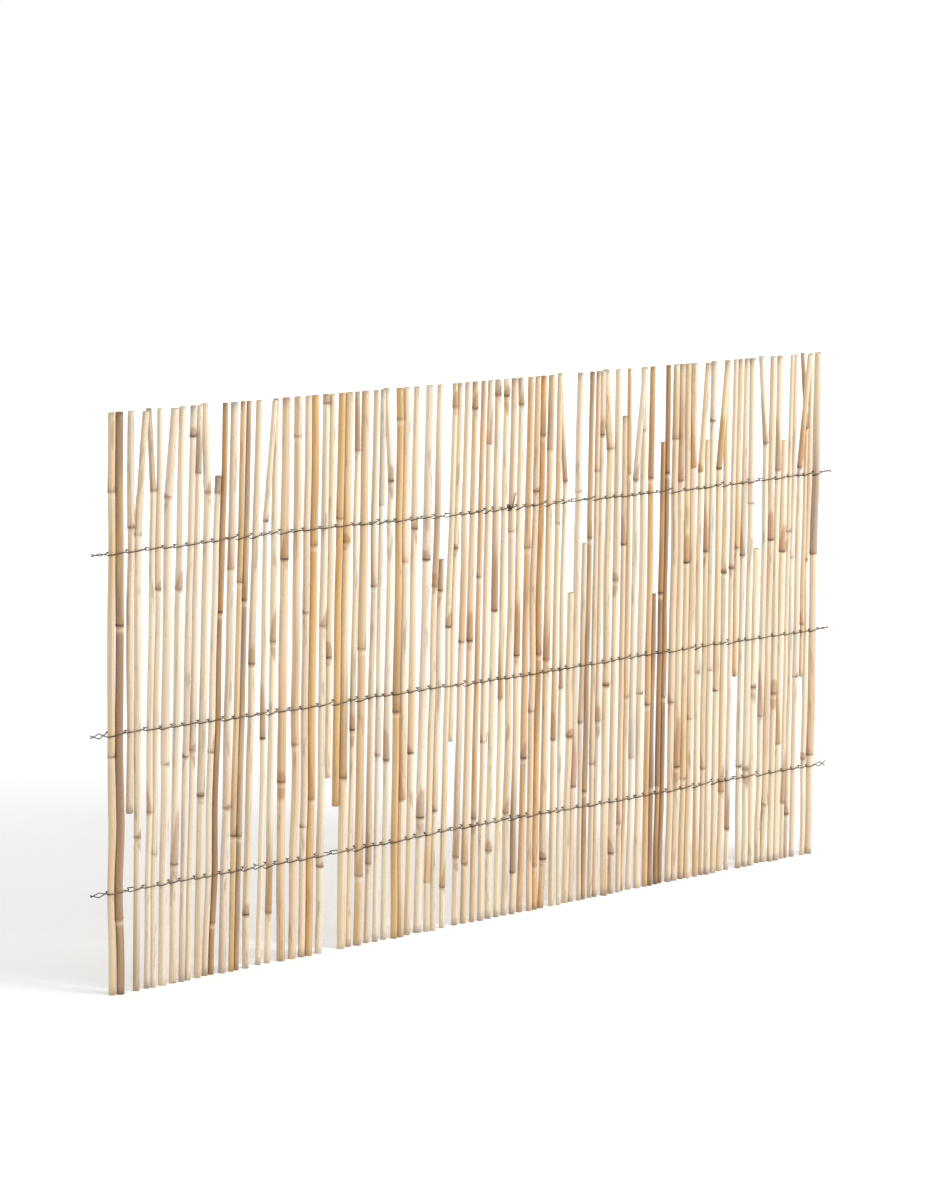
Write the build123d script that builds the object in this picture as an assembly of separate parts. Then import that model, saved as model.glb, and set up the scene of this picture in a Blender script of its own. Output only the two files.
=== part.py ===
from build123d import *
import math
import os
import random

# Cane screening: upright canes held in pockets by three rows of twisted wire.
# Millimetres. X runs along the screen, Y from its front to its back, Z up.
# The origin is under the middle of the screen, at the cut foot of the canes.

# Screen
screen_length = 700.0       # over the end canes, half way up
bottom_margin = 82.0        # cut foot of the canes to the lower binding
lower_bay = 123.0           # lower binding to middle binding
upper_bay = 140.0           # middle binding to upper binding
top_margin = 105.0          # upper binding to the cut head of the canes
lean_at_left = 0.6          # degrees from upright, towards +X at the head
lean_at_right = -1.6
layout_seed = 75            # one natural arrangement of the canes
seed_stride = 1000          # pockets that one arrangement can number
canes_per_node = 2          # neighbouring canes that share a file

# Canes
cane_diameter_min = 3.6
cane_diameter_usual = 4.7
cane_diameter_max = 7.0
pair_likeness = 0.86        # thinnest second cane of a pocket, as a share of the first
cane_taper = 0.7            # diameter lost per metre of height
cane_sides = 5              # flats that stand for the round of a cane
knuckle_swell = 0.26        # radius that a knuckle stands proud
knuckle_rise = 4.0          # height over which a cane swells to its knuckle
knuckle_spacing = 200.0     # usual length from knuckle to knuckle
first_knuckle = (0.15, 0.95)      # range of the lowest knuckle's height, in knuckle spacings
knuckle_variety = (0.85, 1.25)    # range of a length between knuckles, in knuckle spacings
knuckle_wire_room = 7.0     # a knuckle keeps this far from a binding
pair_share = 0.42           # share of the pockets that hold two canes
short_share = 0.42          # share of those pockets where one cane ends part way
short_end = (0.3, 0.75)     # range of where it ends, as a share of the bay or margin there
pair_clearance = 0.35       # between the two canes of a pocket, where they come closest
kink_share = 0.6            # share of the pockets whose outer cane kinks at a knuckle over the upper binding
kink_reach = 45.0           # that knuckle's height over the binding, at the most
kink_out = 7.0              # how far a kinked head stands out of the screen
kink_aside = 3.5            # and how far aside, over its neighbour

# Binding wire
wire_diameter = 0.75
wire_clearance = 0.12       # between a strand and whatever it passes
twist_eye = 0.8             # clear height between the two strands where they pass in a gap
pocket_spare_least = 0.2    # room beside the strands between two pockets, at the least
pocket_spare_usual = 1.2    # and as a rule
gap_evenness = 0.3          # 0 draws the gaps very unevenly, 1 and more evenly
open_at_left = 1.8          # gaps at the ends of the screen beside those half way along
open_at_right = 0.15
tail_twists = 2             # free twists past the end canes
tail_pitch = 7.0            # length of one free twist

# Worked out from the sizes above
screen_height = bottom_margin + lower_bay + upper_bay + top_margin
row_heights = {
    "lower": bottom_margin,
    "middle": bottom_margin + lower_bay,
    "upper": bottom_margin + lower_bay + upper_bay,
}
wire_reach = wire_diameter / math.sqrt(2)       # from the middle of a square strand to its corner
strand_standoff = wire_reach + wire_clearance   # from the middle of a strand to the cane beside it
strand_rise = wire_reach + twist_eye / 2        # of a strand above the middle of its row
pocket_gap_least = 2 * strand_standoff + pocket_spare_least
pocket_gap_usual = 2 * strand_standoff + pocket_spare_usual


class Cane:
    """One stalk: its reach, its knuckles, and its axis from foot_x at the foot to head_x on top.

    Above its kink it leans aside and out of the screen.
    """

    def __init__(self, diameter, draw):
        self.radius = diameter / 2
        self.low = 0.0
        self.high = screen_height
        self.foot_x = 0.0
        self.head_x = 0.0
        self.kink = screen_height
        self.aside = 0.0
        self.out = 0.0
        self.knuckles = draw_knuckles(random.Random(draw.random()))

    def whole_knuckles(self):
        """Knuckles that neither end of the cane cuts."""
        return [k for k in self.knuckles if self.low + 2 * knuckle_rise < k < self.high - knuckle_rise]

    def profile(self):
        """Heights and radii from end to end: a sheath is widest at its knuckle and thins upwards."""
        points = [(self.low, self.stalk_radius(self.low))]
        for knuckle in self.whole_knuckles():
            points.append((knuckle - knuckle_rise, self.stalk_radius(knuckle)))
            points.append((knuckle, self.stalk_radius(knuckle) + knuckle_swell))
        points.append((self.high, self.stalk_radius(self.high)))
        return points

    def stalk_radius(self, height):
        return self.radius + cane_taper / 1000 * (screen_height / 2 - height) / 2

    def widest(self):
        return self.stalk_radius(0.0) + knuckle_swell

    def axis(self, height):
        x = self.foot_x + (self.head_x - self.foot_x) * height / screen_height
        free = max(0.0, height - self.kink) / top_margin
        return Vector(x + self.aside * free, self.out * free, height)

    def radius_at(self, height):
        points = self.profile()
        for (low, low_radius), (high, high_radius) in zip(points, points[1:]):
            if low <= height <= high:
                return low_radius + (high_radius - low_radius) * (height - low) / (high - low)
        return 0.0

    def held_at(self, height):
        return self.low <= height <= self.high

    def solid(self):
        rings = []
        for height, radius in self.profile():
            centre = self.axis(height)
            turns = [math.pi / 2 + 2 * math.pi * side / cane_sides for side in range(cane_sides)]
            rings.append([centre + Vector(math.cos(t), math.sin(t), 0) * radius for t in turns])
        return skin(rings)


def draw_knuckles(draw):
    """Heights of the knuckles of one full cane, unevenly spaced."""
    knuckles = []
    height = knuckle_spacing * draw.uniform(*first_knuckle)
    while height < screen_height:
        knuckles.append(clear_of_rows(height))
        height += knuckle_spacing * draw.uniform(*knuckle_variety)
    return knuckles


def clear_of_rows(height):
    """Move a knuckle up where it would sit under a binding."""
    for row in row_heights.values():
        if abs(height - row) < knuckle_wire_room:
            return row + knuckle_wire_room
    return height


def skin(rings):
    """Closed solid with flat faces through a stack of like polygons."""
    faces = [Face(Wire.make_polygon(rings[0][::-1])), Face(Wire.make_polygon(rings[-1]))]
    for lower, upper in zip(rings, rings[1:]):
        for side in range(len(lower)):
            after = (side + 1) % len(lower)
            corners = [lower[side], lower[after], upper[after], upper[side]]
            faces.append(Face(Wire.make_polygon(corners)))
    return Solid(Shell(faces))


def shorten(cane, draw):
    """End a cane part of the way: above the upper or middle binding, or below the middle one."""
    kind = draw.choice(["below head", "below upper", "above lower"])
    share = draw.uniform(*short_end)
    if kind == "below head":
        cane.high = row_heights["upper"] + share * top_margin
    elif kind == "below upper":
        cane.high = row_heights["middle"] + share * upper_bay
    else:
        cane.low = row_heights["lower"] + share * lower_bay


def kink_head(canes, index):
    """Lean the head of a pocket's outer cane over its neighbour: to the right in front, to the left behind.

    Neighbouring pockets lean opposite ways, so that their heads pass clear of each other.
    """
    side = 1 if index % 2 else -1
    cane = canes[-1] if side > 0 else canes[0]
    over = [k for k in cane.whole_knuckles() if 0 < k - row_heights["upper"] < kink_reach]
    if over:
        cane.kink = over[0]
        cane.aside = side * kink_aside
        cane.out = -side * kink_out


def draw_pocket(index):
    """The one or two canes that two neighbouring twists hold between them."""
    draw = random.Random(layout_seed * seed_stride + index)
    diameter = draw.triangular(cane_diameter_min, cane_diameter_max, cane_diameter_usual)
    canes = [Cane(diameter, draw)]
    if draw.random() < pair_share:
        canes.append(Cane(diameter * draw.uniform(pair_likeness, 1.0), draw))
        draw.shuffle(canes)
        if draw.random() < short_share:
            shorten(draw.choice(canes), draw)
    weights = (draw.expovariate(1.0) + gap_evenness, draw.expovariate(1.0) + gap_evenness)
    if draw.random() < kink_share:
        kink_head(canes, index)
    return canes, weights


def pair_spacing(canes):
    """Axis to axis of the canes of a pocket: clear of each other at the knuckles of both."""
    heights = [height for cane in canes for height, radius in cane.profile()]
    return max(sum(cane.radius_at(height) for cane in canes) for height in heights) + pair_clearance


def pocket_width(canes):
    if len(canes) == 1:
        return 2 * canes[0].widest()
    return canes[0].widest() + pair_spacing(canes) + canes[1].widest()


def fill_screen():
    """As many pockets as the length takes at the usual gap, with uneven gaps at foot and head."""
    pockets = []
    weights = []
    used = -pocket_gap_usual
    while True:
        canes, weight = draw_pocket(len(pockets))
        used += pocket_gap_usual + pocket_width(canes)
        if used > screen_length:
            break
        pockets.append(canes)
        weights.append(weight)
    foot_line = place_canes(pockets, [weight[0] for weight in weights], -0.5)
    head_line = place_canes(pockets, [weight[1] for weight in weights], 0.5)
    canes = [cane for pocket in pockets for cane in pocket]
    for cane, foot_x, head_x in zip(canes, foot_line, head_line):
        cane.foot_x = foot_x
        cane.head_x = head_x
    centre_along_x(pockets)
    return pockets


def place_canes(pockets, weights, up):
    """X of every cane at one height, given as a share of the screen's height above its middle."""
    left_end = -screen_length / 2 + up * screen_height * math.tan(math.radians(lean_at_left))
    right_end = screen_length / 2 + up * screen_height * math.tan(math.radians(lean_at_right))
    gap_count = len(pockets) - 1
    canes_width = sum(pocket_width(canes) for canes in pockets)
    room = right_end - left_end - canes_width - gap_count * pocket_gap_least
    step = (open_at_right - open_at_left) / gap_count
    shares = [weight * (open_at_left + step * number) for number, weight in enumerate(weights[:gap_count])]
    gaps = [pocket_gap_least + room * share / sum(shares) for share in shares]
    places = []
    x = left_end
    for canes, gap in zip(pockets, gaps + [0]):
        places.append(x + canes[0].widest())
        if len(canes) == 2:
            places.append(places[-1] + pair_spacing(canes))
        x += pocket_width(canes) + gap
    return places


def centre_along_x(pockets):
    """Move every cane alike, so that the wire tails reach as far to the left as to the right."""
    left = min(left_side(pockets[0], row) for row in row_heights.values())
    right = max(right_side(pockets[-1], row) for row in row_heights.values())
    middle = (left + right) / 2
    for canes in pockets:
        for cane in canes:
            cane.foot_x -= middle
            cane.head_x -= middle


def left_side(canes, height):
    return min(cane.axis(height).X - cane.radius_at(height) for cane in canes if cane.held_at(height))


def right_side(canes, height):
    return max(cane.axis(height).X + cane.radius_at(height) for cane in canes if cane.held_at(height))


def strand(pockets, row, starts_in_front):
    """One of a row's two strands: in front of every other pocket and behind the rest, as in a twist.

    It rises along the front and falls along the back, so the strands pass one above the other in each gap.
    """
    left = [left_side(canes, row) for canes in pockets]
    right = [right_side(canes, row) for canes in pockets]
    depths = [max(cane.radius_at(row) for cane in canes) + strand_standoff for canes in pockets]
    depths = tail_twists * [strand_rise] + depths + tail_twists * [strand_rise]

    left_end = left[0] - pocket_gap_least / 2
    right_end = right[-1] + pocket_gap_least / 2
    crossings = [left_end - tail_pitch * twist for twist in range(tail_twists, -1, -1)]
    crossings += [(a + b) / 2 for a, b in zip(right, left[1:])]
    crossings += [right_end + tail_pitch * twist for twist in range(tail_twists + 1)]

    points = []
    in_front = starts_in_front
    for start, end, depth in zip(crossings, crossings[1:], depths):
        y = -depth if in_front else depth
        rise = strand_rise if in_front else -strand_rise
        points += [(start, y, row - rise), (end, y, row + rise)]
        in_front = not in_front
    path = Polyline(*points)
    start_plane = Plane(origin=path @ 0, x_dir=(0, 1, 0), z_dir=path % 0)
    section = start_plane * Rectangle(wire_diameter, wire_diameter)
    return sweep(section, path=path, transition=Transition.RIGHT)


def main():
    os.makedirs("parts", exist_ok=True)
    pockets = fill_screen()
    canes = [cane for pocket in pockets for cane in pocket]
    for number, first in enumerate(range(0, len(canes), canes_per_node), start=1):
        group = canes[first:first + canes_per_node]
        export_step(Compound([cane.solid() for cane in group]), f"parts/canes_{number:02d}.step")
    for name, row in row_heights.items():
        export_step(strand(pockets, row, True), f"parts/{name}_strand_a.step")
        export_step(strand(pockets, row, False), f"parts/{name}_strand_b.step")
    print(f"{len(canes)} canes in {len(pockets)} pockets")


main()
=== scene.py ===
import math
import random

import bpy
import numpy as np
from bpy.props import FloatProperty, FloatVectorProperty, IntProperty, PointerProperty
from mathutils import Matrix, Vector


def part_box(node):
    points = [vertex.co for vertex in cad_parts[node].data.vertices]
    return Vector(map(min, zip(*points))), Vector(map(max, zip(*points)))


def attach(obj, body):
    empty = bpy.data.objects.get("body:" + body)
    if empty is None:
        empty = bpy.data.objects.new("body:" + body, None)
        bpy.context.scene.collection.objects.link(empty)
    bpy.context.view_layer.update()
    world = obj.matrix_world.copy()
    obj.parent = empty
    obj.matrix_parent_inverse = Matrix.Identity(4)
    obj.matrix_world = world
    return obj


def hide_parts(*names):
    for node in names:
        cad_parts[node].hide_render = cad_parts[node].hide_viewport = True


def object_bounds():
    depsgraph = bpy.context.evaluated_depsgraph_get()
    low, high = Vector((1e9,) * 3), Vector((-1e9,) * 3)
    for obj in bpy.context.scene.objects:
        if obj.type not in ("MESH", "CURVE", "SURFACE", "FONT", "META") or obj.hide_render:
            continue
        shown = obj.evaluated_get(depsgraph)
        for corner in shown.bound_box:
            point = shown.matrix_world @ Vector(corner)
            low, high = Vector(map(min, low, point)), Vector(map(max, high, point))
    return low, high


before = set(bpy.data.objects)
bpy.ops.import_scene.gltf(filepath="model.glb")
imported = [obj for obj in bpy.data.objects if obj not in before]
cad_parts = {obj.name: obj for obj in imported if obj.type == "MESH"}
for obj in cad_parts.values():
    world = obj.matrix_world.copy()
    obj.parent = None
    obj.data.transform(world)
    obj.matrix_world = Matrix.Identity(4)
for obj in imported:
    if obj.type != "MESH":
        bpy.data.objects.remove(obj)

bl_info = {
    "name": "Cane Screening",
    "version": (1, 0, 0),
    "blender": (4, 5, 0),
    "location": "View3D > Sidebar > Cane Screening",
    "description": "Natural canes, twisted binding wire and a plain stage around the solid screen",
    "category": "Object",
}

CAD_LOW, CAD_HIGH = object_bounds()
BODY = "root"
CANE_NODES = sorted(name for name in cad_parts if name.startswith("canes_"))
ROWS = ("upper", "middle", "lower")
STRANDS = ("a", "b")
SPLICED = ("upper", "b")
MM = 0.001


# Reading the solid screen

WELD_DIGITS = 6
RING_DIGITS = 5
RING_TOLERANCE = 1e-5
TWIST_APART = 1.5 * MM


def welded(node):
    """Distinct corner points of a solid node, and its triangles as indices into them."""
    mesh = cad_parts[node].data
    mesh.calc_loop_triangles()
    points = np.empty(len(mesh.vertices) * 3, np.float32)
    mesh.vertices.foreach_get("co", points)
    triangles = np.empty(len(mesh.loop_triangles) * 3, np.int32)
    mesh.loop_triangles.foreach_get("vertices", triangles)
    rounded = np.round(points.reshape(-1, 3), WELD_DIGITS)
    distinct, index = np.unique(rounded, axis=0, return_inverse=True)
    return distinct.astype(float), index.reshape(-1)[triangles].reshape(-1, 3)


def separate_solids(points, triangles):
    """The points of each solid of a node, as one array a solid."""
    group = list(range(len(points)))

    def root(i):
        while group[i] != i:
            i = group[i]
        return i

    for a, b, c in triangles:
        group[root(a)] = root(b)
        group[root(b)] = root(c)
    solids = {}
    for i, point in enumerate(points):
        solids.setdefault(root(i), []).append(point)
    return [np.array(solid) for solid in solids.values()]


class Stalk:
    """One cane of the solid screen: the height, middle and radius of its rings, and its knuckles."""

    def __init__(self, node, points):
        self.node = node
        self.pocket = 0
        self.heights = np.unique(np.round(points[:, 2], RING_DIGITS))
        rings = [points[np.abs(points[:, 2] - z) < RING_TOLERANCE] for z in self.heights]
        middles = [ring.mean(axis=0) for ring in rings]
        self.xs = np.array([middle[0] for middle in middles])
        self.ys = np.array([middle[1] for middle in middles])
        self.radii = np.array([np.linalg.norm(r - m, axis=1).max() for r, m in zip(rings, middles)])
        inner = self.radii[1:-1]
        widest = (inner > self.radii[:-2]) & (inner > self.radii[2:])
        self.knuckles = list(self.heights[1:-1][widest])
        self.low = self.heights[0]
        self.high = self.heights[-1]

    def x(self, height):
        return float(np.interp(height, self.heights, self.xs))

    def y(self, height):
        return float(np.interp(height, self.heights, self.ys))

    def radius(self, height):
        return float(np.interp(height, self.heights, self.radii))

    def reaches(self, height):
        return self.low <= height <= self.high


def read_stalks():
    stalks = []
    for node in CANE_NODES:
        stalks += [Stalk(node, solid) for solid in separate_solids(*welded(node))]
    middle = (CAD_LOW.z + CAD_HIGH.z) / 2
    return sorted(stalks, key=lambda stalk: stalk.x(middle))


def row_height(row):
    low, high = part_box(f"{row}_strand_a")
    return (low.z + high.z) / 2


def read_route(node):
    """X of each place where a strand changes from one face to the other, and the side it starts on."""
    points = welded(node)[0]
    order = points[np.argsort(points[:, 0])]
    breaks = np.where(np.diff(order[:, 0]) > TWIST_APART)[0] + 1
    groups = np.split(order, breaks)
    side = math.copysign(1, groups[0][:, 1].mean())
    return [group[:, 0].mean() for group in groups], side


def read_pockets(stalks, height):
    """Canes that each two neighbouring twists of the middle binding hold, by number of the pocket."""
    crossings = read_route("middle_strand_a")[0]
    pockets = {}
    for stalk in stalks:
        stalk.pocket = int(np.searchsorted(crossings, stalk.x(height)))
        pockets.setdefault(stalk.pocket, []).append(stalk)
    return pockets


STALKS = read_stalks()
ROW_HEIGHTS = {row: row_height(row) for row in ROWS}
POCKETS = read_pockets(STALKS, ROW_HEIGHTS["middle"])
SCREEN_HEIGHT = CAD_HIGH.z


# Settings

class CaneSettings(bpy.types.PropertyGroup):
    """Shape and colour of the canes"""

    sides: IntProperty(name="Sides", description="Faces round a cane", default=14, min=6, max=32)
    step: FloatProperty(
        name="Step", description="Length of one face along a cane", default=0.008, unit="LENGTH")
    sway: FloatProperty(
        name="Sway", description="Most that a cane bows out of the screen", default=0.0022, unit="LENGTH")
    waves: FloatProperty(name="Waves", description="Bows in each metre of a cane", default=5.0)
    collar: FloatProperty(
        name="Collar", description="Height that a knuckle's ring stands proud",
        default=0.00012, unit="LENGTH")
    bore: FloatProperty(
        name="Bore", description="Hollow of a cane as a share of its radius",
        default=0.62, subtype="FACTOR")
    bore_depth: FloatProperty(
        name="Bore Depth", description="Depth of the hollow at a cut end", default=0.006, unit="LENGTH")
    shreds: IntProperty(name="Shreds", description="Strips of loose sheath", default=34, min=1)
    seed: IntProperty(name="Seed", description="Draws the colour and sway of the canes", default=7)
    straw: FloatVectorProperty(
        name="Straw", description="Palest cane", subtype="COLOR", size=3, default=(0.83, 0.70, 0.515))
    honey: FloatVectorProperty(
        name="Honey", description="Usual cane", subtype="COLOR", size=3, default=(0.74, 0.56, 0.36))
    amber: FloatVectorProperty(
        name="Amber", description="Golden cane and sheath", subtype="COLOR", size=3,
        default=(0.68, 0.43, 0.20))
    umber: FloatVectorProperty(
        name="Umber", description="Weathered cane", subtype="COLOR", size=3, default=(0.32, 0.19, 0.105))
    bark: FloatVectorProperty(
        name="Bark", description="Stain above and below a knuckle", subtype="COLOR", size=3,
        default=(0.43, 0.225, 0.095))
    # Knuckle also serves as the colour of the painted shade at the bottom of a cut end's bore
    knuckle: FloatVectorProperty(
        name="Knuckle", description="Scar round a knuckle", subtype="COLOR", size=3,
        default=(0.095, 0.05, 0.027))


class WireSettings(bpy.types.PropertyGroup):
    """Shape and colour of the binding wire"""

    diameter: FloatProperty(name="Diameter", description="Of one strand", default=0.00086, unit="LENGTH")
    sides: IntProperty(name="Sides", description="Faces round a strand", default=8, min=5, max=24)
    rise: FloatProperty(
        name="Rise", description="Height of a strand over the middle of its row at a usual twist",
        default=0.00095, unit="LENGTH")
    loops: FloatProperty(
        name="Loops", description="Share of the twists that stand open", default=0.22, subtype="FACTOR")
    wander: FloatProperty(
        name="Wander", description="Most that a row strays from its level", default=0.0013, unit="LENGTH")
    splice_at: FloatProperty(
        name="Splice At", description="Place along the upper row of its loose end",
        default=0.011, unit="LENGTH")
    seed: IntProperty(name="Seed", description="Draws the unevenness of the twists", default=3)
    zinc: FloatVectorProperty(
        name="Zinc", description="Clean wire", subtype="COLOR", size=3, default=(0.15, 0.115, 0.08))
    tarnish: FloatVectorProperty(
        name="Tarnish", description="Weathered wire", subtype="COLOR", size=3,
        default=(0.055, 0.038, 0.024))


class StageSettings(bpy.types.PropertyGroup):
    """Floor, light and camera"""

    floor: FloatVectorProperty(
        name="Floor", description="Floor colour", subtype="COLOR", size=3, default=(0.92, 0.92, 0.92))
    floor_size: FloatProperty(
        name="Floor Size", description="Side of the floor", default=14.0, unit="LENGTH")
    floor_glow: FloatProperty(
        name="Floor Glow", description="Light added to the floor as the camera sees it", default=0.15)
    far_glow: FloatProperty(
        name="Far Glow", description="Light added to the floor far from the screen", default=0.45)
    ambient: FloatProperty(
        name="Ambient", description="Strength of the light from all round", default=0.78)
    key_power: FloatProperty(
        name="Key", description="Power of the main lamp", default=70.0, unit="POWER")
    key_size: FloatProperty(
        name="Key Size", description="Side of the main lamp", default=1.1, unit="LENGTH")
    key_place: FloatVectorProperty(
        name="Key Place", description="Where the main lamp hangs", subtype="TRANSLATION", size=3,
        default=(1.9, -2.1, 1.9))
    camera_place: FloatVectorProperty(
        name="Camera", description="Where the camera stands", subtype="TRANSLATION", size=3,
        default=(-1.423, -1.993, 0.815))
    heading: FloatProperty(
        name="Heading", description="Turn of the camera from straight at the screen", subtype="ANGLE",
        default=math.radians(35.0))
    pitch: FloatProperty(
        name="Pitch", description="Tilt of the camera above the level", subtype="ANGLE",
        default=math.radians(-12.55))
    roll: FloatProperty(
        name="Roll", description="Turn of the camera about its own line of sight", subtype="ANGLE",
        default=math.radians(1.09))
    focal_length: FloatProperty(
        name="Focal Length", description="In millimetres, on a 36 mm frame", default=93.0)


class ScreenSettings(bpy.types.PropertyGroup):
    """All settings of the screen"""

    cane: PointerProperty(type=CaneSettings)
    wire: PointerProperty(type=WireSettings)
    stage: PointerProperty(type=StageSettings)


def settings():
    return bpy.context.scene.cane_screen


# Node helpers

NOISE_MIDDLE = 0.5
BOW_DETAIL = 1.0


def add_node(tree, kind, values=None, **attributes):
    """A new node with its attributes set, and its input sockets set to values or linked to sockets."""
    node = tree.nodes.new(kind)
    for name, value in attributes.items():
        setattr(node, name, value)
    for key, value in (values or {}).items():
        if isinstance(value, bpy.types.NodeSocket):
            tree.links.new(value, node.inputs[key])
        else:
            node.inputs[key].default_value = value
    return node


def new_group(name, kind, inputs, outputs):
    """An empty node group with the named sockets, and its input and output nodes."""
    tree = bpy.data.node_groups.new(name, kind)
    for label, socket in inputs:
        tree.interface.new_socket(name=label, in_out="INPUT", socket_type=socket)
    for label, socket in outputs:
        tree.interface.new_socket(name=label, in_out="OUTPUT", socket_type=socket)
    return tree, tree.nodes.new("NodeGroupInput"), tree.nodes.new("NodeGroupOutput")


def named(tree, name, data_type="FLOAT"):
    """Output socket of an attribute that the guide lines carry."""
    node = add_node(tree, "GeometryNodeInputNamedAttribute", {"Name": name}, data_type=data_type)
    return node.outputs["Attribute"]


def bow_group():
    """Bows guide lines by a slow noise of their height, as far as their sway allows."""
    tree, given, result = new_group(
        "cane_bow", "GeometryNodeTree",
        [("Geometry", "NodeSocketGeometry"), ("Waves", "NodeSocketFloat"), ("Seed", "NodeSocketFloat")],
        [("Geometry", "NodeSocketGeometry")])
    position = add_node(tree, "GeometryNodeInputPosition").outputs[0]
    height = add_node(tree, "ShaderNodeSeparateXYZ", {"Vector": position})
    place = add_node(tree, "ShaderNodeCombineXYZ", {
        "X": named(tree, "drift"), "Y": given.outputs["Seed"], "Z": height.outputs["Z"]})
    drift = add_node(tree, "ShaderNodeTexNoise", {
        "Vector": place.outputs[0], "Scale": given.outputs["Waves"], "Detail": BOW_DETAIL})
    centred = add_node(tree, "ShaderNodeVectorMath", {
        0: drift.outputs["Color"], 1: (NOISE_MIDDLE,) * 3}, operation="SUBTRACT")
    bow = add_node(tree, "ShaderNodeVectorMath", {
        0: centred.outputs[0], 1: named(tree, "sway", "FLOAT_VECTOR")}, operation="MULTIPLY")
    bowed = add_node(tree, "GeometryNodeSetPosition", {
        "Geometry": given.outputs["Geometry"], "Offset": bow.outputs[0]})
    tree.links.new(bowed.outputs[0], result.inputs["Geometry"])
    return tree


def bowed_lines(tree, given, bow):
    """Output socket of the guide lines as curves, bowed."""
    bowed = add_node(tree, "GeometryNodeGroup", node_tree=bow)
    for label in ("Geometry", "Waves", "Seed"):
        tree.links.new(given.outputs[label], bowed.inputs[label])
    return add_node(tree, "GeometryNodeMeshToCurve", {"Mesh": bowed.outputs["Geometry"]}).outputs[0]


def unit_ring(tree, given):
    """Output socket of the round section that a sweep scales."""
    ring = add_node(tree, "GeometryNodeCurvePrimitiveCircle", {
        "Resolution": given.outputs["Sides"], "Radius": 1.0})
    return ring.outputs[0]


def paint_result(tree, given, result, geometry):
    """Last nodes of a sweep: a real mesh in the given material."""
    real = add_node(tree, "GeometryNodeRealizeInstances", {"Geometry": geometry})
    painted = add_node(tree, "GeometryNodeSetMaterial", {
        "Geometry": real.outputs[0], "Material": given.outputs["Material"]})
    tree.links.new(painted.outputs[0], result.inputs["Geometry"])


def cane_tree(bow):
    """Sweeps a ring along each bowed guide line, and folds its ends in to make the hollow."""
    tree, given, result = new_group(
        "cane_sweep", "GeometryNodeTree",
        [("Geometry", "NodeSocketGeometry"), ("Sides", "NodeSocketInt"), ("Waves", "NodeSocketFloat"),
         ("Seed", "NodeSocketFloat"), ("Material", "NodeSocketMaterial")],
        [("Geometry", "NodeSocketGeometry")])
    marked = add_node(tree, "GeometryNodeStoreNamedAttribute", {
        "Geometry": unit_ring(tree, given), "Name": "rim",
        "Value": add_node(tree, "GeometryNodeInputPosition").outputs[0]}, data_type="FLOAT_VECTOR")
    tube = add_node(tree, "GeometryNodeCurveToMesh", {
        "Curve": bowed_lines(tree, given, bow), "Profile Curve": marked.outputs[0],
        "Scale": named(tree, "girth"), "Fill Caps": True})
    fold = add_node(tree, "ShaderNodeCombineXYZ", {"Z": named(tree, "fold")})
    folded = add_node(tree, "GeometryNodeSetPosition", {
        "Geometry": tube.outputs[0], "Offset": fold.outputs[0]})
    smooth = add_node(tree, "GeometryNodeSetShadeSmooth", {"Geometry": folded.outputs[0]})
    paint_result(tree, given, result, smooth.outputs[0])
    return tree


def wire_tree():
    """Sweeps a round wire along each guide line."""
    tree, given, result = new_group(
        "wire_sweep", "GeometryNodeTree",
        [("Geometry", "NodeSocketGeometry"), ("Sides", "NodeSocketInt"), ("Diameter", "NodeSocketFloat"),
         ("Material", "NodeSocketMaterial")],
        [("Geometry", "NodeSocketGeometry")])
    lines = add_node(tree, "GeometryNodeMeshToCurve", {"Mesh": given.outputs["Geometry"]})
    half = add_node(tree, "ShaderNodeMath", {0: given.outputs["Diameter"], 1: 0.5}, operation="MULTIPLY")
    tube = add_node(tree, "GeometryNodeCurveToMesh", {
        "Curve": lines.outputs[0], "Profile Curve": unit_ring(tree, given), "Scale": half.outputs[0],
        "Fill Caps": True})
    smooth = add_node(tree, "GeometryNodeSetShadeSmooth", {"Geometry": tube.outputs[0]})
    paint_result(tree, given, result, smooth.outputs[0])
    return tree


def shred_tree(bow):
    """Sweeps a flat strip along each guide line, bowed with its cane."""
    tree, given, result = new_group(
        "shred_sweep", "GeometryNodeTree",
        [("Geometry", "NodeSocketGeometry"), ("Thinness", "NodeSocketFloat"),
         ("Waves", "NodeSocketFloat"), ("Seed", "NodeSocketFloat"), ("Material", "NodeSocketMaterial")],
        [("Geometry", "NodeSocketGeometry")])
    strip = add_node(tree, "GeometryNodeCurvePrimitiveQuadrilateral", {
        "Width": 1.0, "Height": given.outputs["Thinness"]})
    ribbon = add_node(tree, "GeometryNodeCurveToMesh", {
        "Curve": bowed_lines(tree, given, bow), "Profile Curve": strip.outputs[0],
        "Scale": named(tree, "girth"), "Fill Caps": True})
    paint_result(tree, given, result, ribbon.outputs[0])
    return tree


def guide_lines(name, lines):
    """Guide lines as loose edges: each row has its point, and its other values become attributes."""
    rows = [row for line in lines for row in line]
    edges = []
    start = 0
    for line in lines:
        edges += [(i, i + 1) for i in range(start, start + len(line) - 1)]
        start += len(line)
    mesh = bpy.data.meshes.new(name)
    mesh.from_pydata([row["point"] for row in rows], edges, [])
    for label in rows[0]:
        if label == "point":
            continue
        values = np.array([row[label] for row in rows], np.float32)
        if values.ndim == 2:
            mesh.attributes.new(label, "FLOAT_VECTOR", "POINT").data.foreach_set("vector", values.ravel())
        else:
            mesh.attributes.new(label, "FLOAT", "POINT").data.foreach_set("value", values)
    piece = bpy.data.objects.new(name, mesh)
    bpy.context.scene.collection.objects.link(piece)
    return piece


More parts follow.
